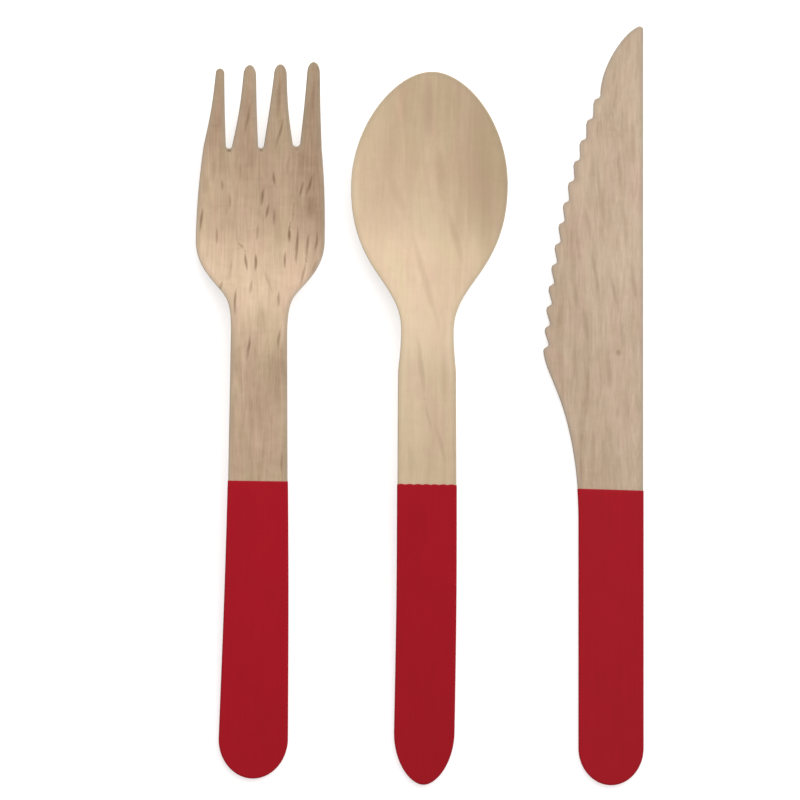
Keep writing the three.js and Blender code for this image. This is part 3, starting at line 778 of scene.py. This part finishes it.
spoon = {
    "gripHalf": 6.5, "endLength": 11.5, "paintedLength": 65.3, "paintHalf": 6.4, "bareRun": 23.7,
    "handleTopHalf": 6.3, "taperRun": 9.5, "neckHalf": 5.7, "neckRun": 12.4, "shoulderHalf": 11,
    "shoulderRun": 19.1, "bowlHalf": 17, "bowlTipRun": 24.9, "neckLift": 7, "tipLift": 5,
    "bowlDepth": 4.97, "columns": 96, "rise": 0.006, "seed": 9.0,
    "endBlunt": 0.44, "endHeld": 0.58, "tipBlunt": 0.45, "tipHeld": 0.55,  # how full the curves are
    "reliefShare": 0.6,  # this veneer is smoother than the others
    "flecks": [  # across, along, length, lean, half width, darkness
        (-0.7, 147, 16, -1, 1.5, 0.3), (2.1, 132.5, 14, -7, 1.4, 0.22), (5.6, 119, 13, -16, 1.0, 0.26),
        (-6.9, 127.5, 11, -24, 1.5, 0.16), (11.0, 131, 34, -5, 4.2, 0.24), (-0.9, 110, 23, -16, 0.9, 0.26),
        (-8.5, 138, 15, 8, 1.5, 0.16), (-1.5, 91.0, 14, -9, 0.7, 0.3), (3.0, 74, 9, -15, 0.6, 0.32),
        (0.2, 80, 7, -12, 0.5, 0.25), (-3.4, 70, 9, -4, 0.8, 0.2), (3.8, 88, 12, -3, 1.1, 0.16),
    ],
    "scallops": 7, "scallopDepth": 0.16, "scallopMiddle": 0.6,  # the waves of the paint line
    # Tone along the spoon with painted light in it: brighter on the slope from the neck down into the bowl,
    # darker up the far side of the bowl
    "toneAndPaintedLightAlong": [
        (0, 0.52), (70, 0.52), (79, 0.56), (88, 0.62), (93, 0.7), (101, 0.66), (111, 0.6), (119, 0.63),
        (130, 0.5), (141, 0.47), (155, 0.44),
    ],
    # Painted shade across: darker to the right, lighter to the left
    "paintedShadeAcross": -0.09,
    # The red darkens towards the butt: painted shade
    "redToneAndPaintedShade": [(0, 0.3), (65.3, 0.4)],
}


def makeSpoon():
    handleTopAt = spoon["paintedLength"] + spoon["bareRun"]
    neckAt = handleTopAt + spoon["taperRun"]
    shoulderAt = neckAt + spoon["neckRun"]
    widestAt = shoulderAt + spoon["shoulderRun"]
    tipAt = widestAt + spoon["bowlTipRun"]
    bowlHalf = spoon["bowlHalf"]
    side = np.vstack([
        roundedEnd(spoon["gripHalf"], spoon["endLength"], spoon["endBlunt"], spoon["endHeld"]),
        straight((spoon["gripHalf"], spoon["endLength"]), (spoon["paintHalf"], spoon["paintedLength"])),
        straight((spoon["paintHalf"], spoon["paintedLength"]), (spoon["handleTopHalf"], handleTopAt)),
        throughKnots([
            {"half": spoon["handleTopHalf"], "at": handleTopAt, "widens": 0, "after": 0.2},
            {"half": spoon["neckHalf"], "at": neckAt, "widens": 0, "before": 0.47, "after": 0.41},
            {"half": spoon["shoulderHalf"], "at": shoulderAt, "widens": 0.7, "before": 0.35, "after": 0.29},
            {"half": bowlHalf, "at": widestAt, "widens": 0, "before": 0.42},
        ]),
        bezier((bowlHalf, widestAt), (bowlHalf, widestAt + spoon["bowlTipRun"] * spoon["tipHeld"]),
               (bowlHalf * spoon["tipBlunt"], tipAt), (0, tipAt)),
    ])
    strays = layout["handleSway"]
    sway = smoothLine([
        (0, strays / 2), (spoon["paintedLength"] * 0.6, strays), (spoon["paintedLength"], strays / 3),
        (handleTopAt, -strays / 2), (widestAt, -strays / 2), (tipAt, strays / 2),
    ])
    bottomAt = lerp(shoulderAt, widestAt, 0.63)
    neckLift, tipLift = spoon["neckLift"], spoon["tipLift"]
    # The pressed profile, which is lowest under the bowl
    lift = smoothLine([
        (0, dip["thickness"]), (neckAt * 0.46, neckLift * 0.52), (neckAt * 0.88, neckLift * 0.96),
        (neckAt * 0.97, neckLift), (neckAt + spoon["neckRun"] * 0.4, neckLift * 0.76),
        (shoulderAt, neckLift * 0.36), (lerp(shoulderAt, bottomAt, 0.6), neckLift * 0.035), (bottomAt, 0),
        ((bottomAt + tipAt) / 2, tipLift * 0.25), (tipAt, tipLift),
    ])
    depth = spoon["bowlDepth"]
    dish = smoothLine([(handleTopAt, 0), (neckAt, depth * 0.25), (shoulderAt, depth), (tipAt, depth)])
    toneAndPaintedLightAlong = smoothLine(spoon["toneAndPaintedLightAlong"])
    left, right = swayed(side, sway)
    butt, top = (0, 1), (0, -1)
    edges = (left, inwardOf(left, -1, butt, top), right, inwardOf(right, 1, butt, top))

    def toneAndPaintedLight(x, y):
        return toneAndPaintedLightAlong(y) + spoon["paintedShadeAcross"] * x / bowlHalf

    def scallop(x):
        phase = x / spoon["paintHalf"] * spoon["scallops"] * math.pi / 2
        return spoon["scallopDepth"] * (np.abs(np.cos(phase)) - spoon["scallopMiddle"])

    place = placeOf(layout["spoonButt"], layout["spoonTurn"], spoon["rise"] + veneer["thickness"] / 2)
    loops, face = loopsRound(*edges, np.linspace(0, 1, spoon["columns"] + 1))
    coat = coatStrips(*edges, spoon["paintedLength"], scallop)
    makePieces("spoon", spoon, spoonLook, [(loops, face, False)], coat, lift, dish, toneAndPaintedLight, place, bowlHalf,
               veneer["relief"] * spoon["reliefShare"])


makeSpoon()

# Knife

knife = {
    "length": 165, "handleHalf": 7, "endLength": 8, "straightLength": 57, "paintRun": 7.2,
    "paintHalf": 7.25, "heelRiseRun": 19.6, "heelRiseHalf": 11.1, "heelRun": 10.6, "heelHalf": 14.75,
    "bellyFullness": 1.1, "tipRun": 16.3, "firstToothHalf": 3.75, "toothCount": 13, "heelToothDepth": 1.1,
    "tipToothDepth": 0.93, "toothSlant": 0.74, "toothBlunt": 0.1, "tipFromSpine": 0.8,
    "tipCornerHeight": 0.7,
    "toothRounding": 0.22, "toothPitch": 0.3, "cornerSteps": 3,
    "columns": 72, "seed": 17.0,
    "rimTilt": 0.03,  # the paint line's slope across the handle
    "pointHeld": 0.45, "pointBack": 0.34, "pointDrop": 0.05,  # how full the curve to the point is
    "flecks": [  # across, along, length, lean, half width, darkness
        (1.5, 94, 1.7, 20, 0.75, 0.65), (-3.5, 112, 11, -9, 0.6, 0.34), (0.6, 107.5, 10, -14, 0.5, 0.3),
        (-5.5, 100, 9, -10, 0.7, 0.26), (3.2, 120, 11, -3, 0.6, 0.26), (-2.0, 127, 14, -8, 0.8, 0.26),
        (1.8, 134, 11, -4, 0.5, 0.3), (-7.5, 106, 7, -6, 0.6, 0.28), (-0.5, 90, 11, -6, 0.8, 0.24),
        (4.8, 109.5, 8.5, -6, 0.5, 0.3), (-5.2, 122.5, 8, -12, 0.7, 0.24), (2.4, 98.5, 7.5, -7, 0.6, 0.25),
        (-8, 92, 9, -4, 0.7, 0.22), (4.8, 140, 12, -2, 0.6, 0.2), (3.4, 83, 9, -5, 0.6, 0.22),
    ],
    "toneAndPaintedLightAlong": [
        (0, 0.42), (68, 0.42), (84, 0.48), (100, 0.5), (116, 0.57), (136, 0.55), (157, 0.47), (165, 0.43),
    ],
    "paintedShadeAcross": 0.04,
    # The red darkens towards the butt: painted shade
    "redToneAndPaintedShade": [(0, 0.3), (64.2, 0.36)],
}


# The serrations from the heel to the last notch. Their points lie on the belly's curve.
def cuttingEdge(heelAt, firstToothAt):
    start = np.array([knife["heelHalf"], heelAt])
    middle = np.array([knife["heelHalf"] - knife["bellyFullness"], (heelAt + firstToothAt) / 2])
    end = np.array([knife["firstToothHalf"], firstToothAt])

    def wayAt(share):
        way = (middle - start) * (1 - share) + (end - middle) * share
        return way / np.linalg.norm(way)

    def onBelly(share, depth):
        t = min(share, 1)
        point = start * (1 - t) ** 2 + 2 * middle * t * (1 - t) + end * t * t
        way = wayAt(t)
        past = max(share - 1, 0) * (firstToothAt - heelAt)
        return point + way * past + np.array([-way[1], way[0]]) * depth

    # Into the wood from the belly at a place along it, on the left edge
    def inward(y):
        way = wayAt(np.clip((y - heelAt) / (firstToothAt - heelAt), 0, 1))
        return way[1], way[0]

    pitch = 1 / (knife["toothCount"] - 1)
    blunted = knife["toothBlunt"] * pitch
    points = []
    for tooth in range(knife["toothCount"]):
        share = tooth * pitch
        notch = share + (1 - knife["toothSlant"]) * pitch
        depth = lerp(knife["heelToothDepth"], knife["tipToothDepth"], min(notch * notch, 1))
        if tooth > 0:
            points.append(onBelly(share - blunted, depth * knife["toothBlunt"]))
        points.append(onBelly(share + blunted, depth * knife["toothBlunt"]))
        points.append(onBelly(notch, depth))
        points.append(onBelly(notch + blunted, depth))
    return np.array(points), inward


# A polyline with its corners rounded, in short steps
def softened(corners, radius, pitch):
    out = [corners[0]]
    for before, corner, after in zip(corners, corners[1:], corners[2:]):
        reach = min(radius, math.dist(before, corner) / 2, math.dist(corner, after) / 2)
        start = corner + (before - corner) / math.dist(before, corner) * reach
        end = corner + (after - corner) / math.dist(corner, after) * reach
        for t in np.linspace(0, 1, knife["cornerSteps"] + 1):
            out.append(start * (1 - t) ** 2 + 2 * corner * t * (1 - t) + end * t * t)
    out.append(corners[-1])
    fine = [np.array(out[0])]
    for point in out[1:]:
        steps = max(1, math.ceil(math.dist(fine[-1], point) / pitch))
        start = fine[-1]
        fine += [lerp(start, point, k / steps) for k in range(1, steps + 1)]
    return np.array(fine)


def makeKnife():
    paintAt = knife["straightLength"] + knife["paintRun"]
    riseAt = paintAt + knife["heelRiseRun"]
    heelAt = riseAt + knife["heelRun"]
    length, handleHalf = knife["length"], knife["handleHalf"]
    firstToothAt = length - knife["tipRun"]
    teeth, bellyInward = cuttingEdge(heelAt, firstToothAt)
    lastNotch = teeth[-1]
    tipX = knife["tipFromSpine"] - handleHalf
    body = np.vstack([
        roundedEnd(handleHalf, knife["endLength"]),
        straight((handleHalf, knife["endLength"]), (handleHalf, knife["straightLength"])),
        throughKnots([
            {"half": handleHalf, "at": knife["straightLength"], "widens": 0, "after": 0.35},
            {"half": knife["paintHalf"], "at": paintAt, "widens": 0.07, "before": 0.35, "after": 0.26},
            {"half": knife["heelRiseHalf"], "at": riseAt, "widens": 0.36, "before": 0.36, "after": 0.43},
            {"half": knife["heelHalf"], "at": heelAt, "widens": 0.1, "before": 0.29},
        ]),
    ])
    serrated = softened(np.vstack([body[-1:], teeth]), knife["toothRounding"], knife["toothPitch"])[1:]
    leaves = (lastNotch[0], lerp(lastNotch[1], length, knife["pointHeld"]))
    arrives = (lerp(tipX, lastNotch[0], knife["pointBack"]), lerp(length, lastNotch[1], knife["pointDrop"]))
    point = bezier(lastNotch, leaves, arrives, (tipX, length))
    side = np.vstack([body, serrated, point])
    left = np.column_stack([-side[:, 0], side[:, 1]])
    cornerHeight = knife["tipCornerHeight"]
    corner = np.clip((side[:, 1] - (length - cornerHeight)) / cornerHeight, 0, 1)
    spine = handleHalf - knife["tipFromSpine"] * (1 - np.sqrt(1 - corner ** 2))
    right = np.column_stack([np.where(side[:, 1] < knife["endLength"], side[:, 0], spine), side[:, 1]])
    butt, top = (0, 1), (0, -1)
    leftInward, rightInward = inwardOf(left, -1, butt, top), inwardOf(right, 1, butt, top)
    # On the serrations the way into the wood follows the belly, so that the teeth keep their shape
    for i in range(len(body), len(body) + len(serrated)):
        leftInward[i] = bellyInward(left[i, 1])
    lift = smoothLine([(0, dip["thickness"]), (length, dip["thickness"])])
    none = smoothLine([(0, 0), (length, 0)])
    toneAndPaintedLightAlong = smoothLine(knife["toneAndPaintedLightAlong"])

    def toneAndPaintedLight(x, y):
        return toneAndPaintedLightAlong(y) + knife["paintedShadeAcross"] * x / handleHalf

    def tilted(x):
        return -x * knife["rimTilt"]

    edges = (left, leftInward, right, rightInward)
    place = placeOf(layout["knifeButt"], rise=veneer["thickness"] / 2)
    loops, face = loopsRound(*edges, np.linspace(0, 1, knife["columns"] + 1))
    coat = coatStrips(*edges, paintAt, tilted)
    makePieces("knife", knife, knifeLook, [(loops, face, False)], coat, lift, none, toneAndPaintedLight, place, handleHalf,
               veneer["relief"])


makeKnife()

# Table, light and camera

studio = {
    "frameWidth": 0.1741,  # how much of the table the picture spans
    "lens": 500,
    "sensor": 36,
    "lookAt": (-0.00431, 0.00125),
    "keyFrom": (0.26, 0.60, 0.66),
    "keySize": 1.3,
    "keyPower": 7.6,
    "skyStrength": 0.53,
    "tableSize": 12,
    "tableDrop": 0.00003,  # the table lies this far below the painted underside that rests on it
    "tableWhite": 0.88,
    "tableRoughness": 0.9,
    "tableGlow": 0.5,
    "clipReach": 3,  # the camera sees this many times as far as the table
}


# 1 where the camera, a reflection or a clear piece looks, and 0 for the light that falls on things
def seenDirectly(tree):
    ray = node(tree, "ShaderNodeLightPath").outputs
    through = maths(tree, "MAXIMUM", ray["Is Glossy Ray"], ray["Is Transmission Ray"])
    return maths(tree, "MAXIMUM", ray["Is Camera Ray"], through)


def addTable():
    mesh = bpy.data.meshes.new("table")
    half, level = studio["tableSize"] / 2, -studio["tableDrop"]
    corners = [(-half, -half, level), (half, -half, level), (half, half, level), (-half, half, level)]
    mesh.from_pydata(corners, [], [(0, 1, 2, 3)])
    table = newObject("table", mesh)
    material, tree, shader = newMaterial("table_white")
    white = studio["tableWhite"]
    shader.inputs["Base Color"].default_value = (white, white, white, 1)
    shader.inputs["Roughness"].default_value = studio["tableRoughness"]
    shader.inputs["Specular IOR Level"].default_value = 0.0
    strength = maths(tree, "MULTIPLY", seenDirectly(tree), studio["tableGlow"])
    glow = node(tree, "ShaderNodeEmission", {"Color": (1, 1, 1, 1), "Strength": strength})
    both = node(tree, "ShaderNodeAddShader", {0: shader.outputs[0], 1: glow.outputs[0]})
    tree.links.new(both.outputs[0], tree.nodes["Material Output"].inputs["Surface"])
    mesh.materials.append(material)


def addSky():
    world = bpy.data.worlds.new("studio")
    bpy.context.scene.world = world
    world.use_nodes = True
    tree = world.node_tree
    sky = tree.nodes["Background"]
    sky.inputs["Color"].default_value = (1, 1, 1, 1)
    strength = ranged(tree, seenDirectly(tree), 0.0, 1.0, studio["skyStrength"], 1.0)
    tree.links.new(strength, sky.inputs["Strength"])


def addKey():
    data = bpy.data.lights.new("key", "AREA")
    data.shape = "DISK"
    data.size = studio["keySize"]
    data.energy = studio["keyPower"]
    key = newObject("key", data)
    key.location = studio["keyFrom"]
    key.rotation_euler = (-Vector(studio["keyFrom"])).to_track_quat("-Z", "Y").to_euler()
    key.visible_camera = False


def addCamera():
    data = bpy.data.cameras.new("camera")
    data.lens = studio["lens"]
    data.sensor_width = studio["sensor"]
    distance = studio["frameWidth"] * studio["lens"] / studio["sensor"]
    data.clip_end = distance * studio["clipReach"]
    camera = newObject("camera", data)
    camera.location = (*studio["lookAt"], distance)
    bpy.context.scene.camera = camera


addTable()
addSky()
addKey()
addCamera()
bpy.context.scene.view_settings.view_transform = "Standard"
print("table, sky, key and camera ready")
